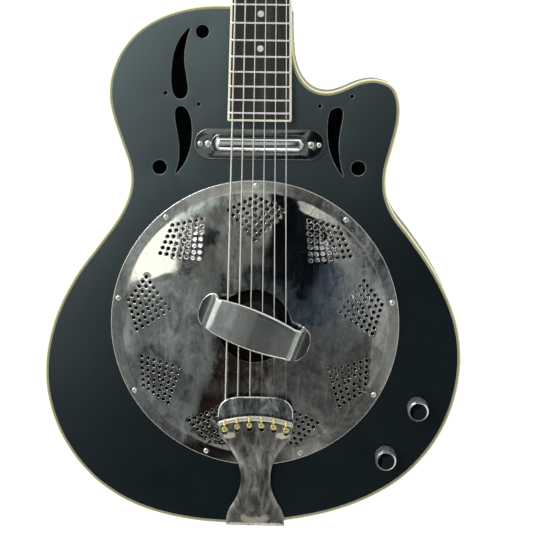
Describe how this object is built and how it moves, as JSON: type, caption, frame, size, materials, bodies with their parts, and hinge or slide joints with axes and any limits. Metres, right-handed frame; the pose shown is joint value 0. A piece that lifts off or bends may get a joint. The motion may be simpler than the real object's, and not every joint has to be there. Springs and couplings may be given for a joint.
{
  "type": "resonator guitar",
  "caption": "Thinline resonator guitar with a single cutaway, pierced metal coverplate over a spun cone, tube pickup, trapeze tailpiece and turning tuners and knobs.",
  "frame": {"origin": "on the outer face of the flat back, straight under the point where the string line crosses the saddle", "axes": "+Y along the strings towards the headstock, +Z out of the face towards the player's hand, +X towards the treble side and the cutaway"},
  "size_m": [0.3867, 1.033, 0.1068],
  "materials": {
    "black_lacquer": "satin black lacquer over wood",
    "neck_lacquer": "satin black lacquer over wood",
    "binding": "aged cream celluloid",
    "inner_wood": "bare softwood",
    "cone_aluminium": "spun, bare",
    "maple": "bare maple",
    "aged_nickel": "tarnished nickel plate, mottled",
    "steel_hardware": "nickel-plated steel",
    "chrome": "polished",
    "tuner_nickel": "nickel plate",
    "tuner_button": "aged cream plastic",
    "fingerboard_wood": "dark open-grained hardwood, oiled",
    "bone": "polished bone",
    "plain_string": "plain steel wire",
    "wound_string": "bronze-wound",
    "lead": "black sheath"
  },
  "bodies": {
    "guitar": {"rim": "black_lacquer", "soundboard": "black_lacquer", "back_plate": "black_lacquer", "front_binding": "binding", "back_binding": "binding", "neck_block": "inner_wood", "tail_block": "inner_wood", "soundwell": "inner_wood", "cone": "cone_aluminium", "biscuit": "maple", "saddle": "maple", "cover_plate": "aged_nickel", "handrest": "aged_nickel", "cover_screw_1": "steel_hardware", "cover_screw_2": "steel_hardware", "cover_screw_3": "steel_hardware", "cover_screw_4": "steel_hardware", "cover_screw_5": "steel_hardware", "cover_screw_6": "steel_hardware", "cover_screw_7": "steel_hardware", "cover_screw_8": "steel_hardware", "cover_screw_9": "steel_hardware", "pickup_base": "chrome", "pickup_tube": "chrome", "pickup_screw_1": "steel_hardware", "pickup_screw_2": "steel_hardware", "tailpiece": "aged_nickel", "end_pin": "chrome", "strap_button": "chrome", "output_jack": "chrome", "pot_volume": "steel_hardware", "pot_tone": "steel_hardware", "wiring": "lead", "neck": "neck_lacquer", "truss_rod": "steel_hardware", "fingerboard": "fingerboard_wood", "fingerboard_binding": "binding", "nut": "bone", "string_1": "plain_string", "string_2": "plain_string", "string_3": "plain_string", "string_4": "wound_string", "string_5": "wound_string", "string_6": "wound_string", "tuner_plate_bass": "steel_hardware", "tuner_plate_treble": "steel_hardware"},
    "volume_knob": {"knob_volume": "chrome"},
    "tone_knob": {"knob_tone": "chrome"},
    "tuner_6_button": {"tuner_button_6": "tuner_button"},
    "tuner_6_post": {"tuner_post_6": "tuner_nickel"},
    "tuner_5_button": {"tuner_button_5": "tuner_button"},
    "tuner_5_post": {"tuner_post_5": "tuner_nickel"},
    "tuner_4_button": {"tuner_button_4": "tuner_button"},
    "tuner_4_post": {"tuner_post_4": "tuner_nickel"},
    "tuner_3_button": {"tuner_button_3": "tuner_button"},
    "tuner_3_post": {"tuner_post_3": "tuner_nickel"},
    "tuner_2_button": {"tuner_button_2": "tuner_button"},
    "tuner_2_post": {"tuner_post_2": "tuner_nickel"},
    "tuner_1_button": {"tuner_button_1": "tuner_button"},
    "tuner_1_post": {"tuner_post_1": "tuner_nickel"}
  },
  "joints": [
    {"name": "volume_turn", "type": "hinge", "parent": "guitar", "child": "volume_knob", "pos_m": [0.1474, -0.0738, 0.088], "axis": [0, 0, 1], "range_deg": [-150, 150]},
    {"name": "tone_turn", "type": "hinge", "parent": "guitar", "child": "tone_knob", "pos_m": [0.1192, -0.12, 0.088], "axis": [0, 0, 1], "range_deg": [-150, 150]},
    {"name": "tuner_6_button_turn", "type": "hinge", "parent": "guitar", "child": "tuner_6_button", "pos_m": [-0.047, 0.70102, 0.03054], "axis": [1, 0, 0], "continuous": true},
    {"name": "tuner_6_post_turn", "type": "hinge", "parent": "guitar", "child": "tuner_6_post", "pos_m": [-0.022, 0.69766, 0.05096], "axis": [0, 0.2419, 0.9703], "continuous": true},
    {"name": "tuner_5_button_turn", "type": "hinge", "parent": "guitar", "child": "tuner_5_button", "pos_m": [-0.047, 0.73984, 0.02086], "axis": [1, 0, 0], "continuous": true},
    {"name": "tuner_5_post_turn", "type": "hinge", "parent": "guitar", "child": "tuner_5_post", "pos_m": [-0.022, 0.73647, 0.04128], "axis": [0, 0.2419, 0.9703], "continuous": true},
    {"name": "tuner_4_button_turn", "type": "hinge", "parent": "guitar", "child": "tuner_4_button", "pos_m": [-0.047, 0.77865, 0.01118], "axis": [1, 0, 0], "continuous": true},
    {"name": "tuner_4_post_turn", "type": "hinge", "parent": "guitar", "child": "tuner_4_post", "pos_m": [-0.022, 0.77529, 0.0316], "axis": [0, 0.2419, 0.9703], "continuous": true},
    {"name": "tuner_3_button_turn", "type": "hinge", "parent": "guitar", "child": "tuner_3_button", "pos_m": [0.047, 0.77865, 0.01118], "axis": [1, 0, 0], "continuous": true},
    {"name": "tuner_3_post_turn", "type": "hinge", "parent": "guitar", "child": "tuner_3_post", "pos_m": [0.022, 0.77529, 0.0316], "axis": [0, 0.2419, 0.9703], "continuous": true},
    {"name": "tuner_2_button_turn", "type": "hinge", "parent": "guitar", "child": "tuner_2_button", "pos_m": [0.047, 0.73984, 0.02086], "axis": [1, 0, 0], "continuous": true},
    {"name": "tuner_2_post_turn", "type": "hinge", "parent": "guitar", "child": "tuner_2_post", "pos_m": [0.022, 0.73647, 0.04128], "axis": [0, 0.2419, 0.9703], "continuous": true},
    {"name": "tuner_1_button_turn", "type": "hinge", "parent": "guitar", "child": "tuner_1_button", "pos_m": [0.047, 0.70102, 0.03054], "axis": [1, 0, 0], "continuous": true},
    {"name": "tuner_1_post_turn", "type": "hinge", "parent": "guitar", "child": "tuner_1_post", "pos_m": [0.022, 0.69766, 0.05096], "axis": [0, 0.2419, 0.9703], "continuous": true}
  ],
  "couplings": [
    {"joint": "tuner_6_post_turn", "follows": "tuner_6_button_turn", "ratio": 0.071429},
    {"joint": "tuner_5_post_turn", "follows": "tuner_5_button_turn", "ratio": 0.071429},
    {"joint": "tuner_4_post_turn", "follows": "tuner_4_button_turn", "ratio": 0.071429},
    {"joint": "tuner_3_post_turn", "follows": "tuner_3_button_turn", "ratio": 0.071429},
    {"joint": "tuner_2_post_turn", "follows": "tuner_2_button_turn", "ratio": 0.071429},
    {"joint": "tuner_1_post_turn", "follows": "tuner_1_button_turn", "ratio": 0.071429}
  ]
}
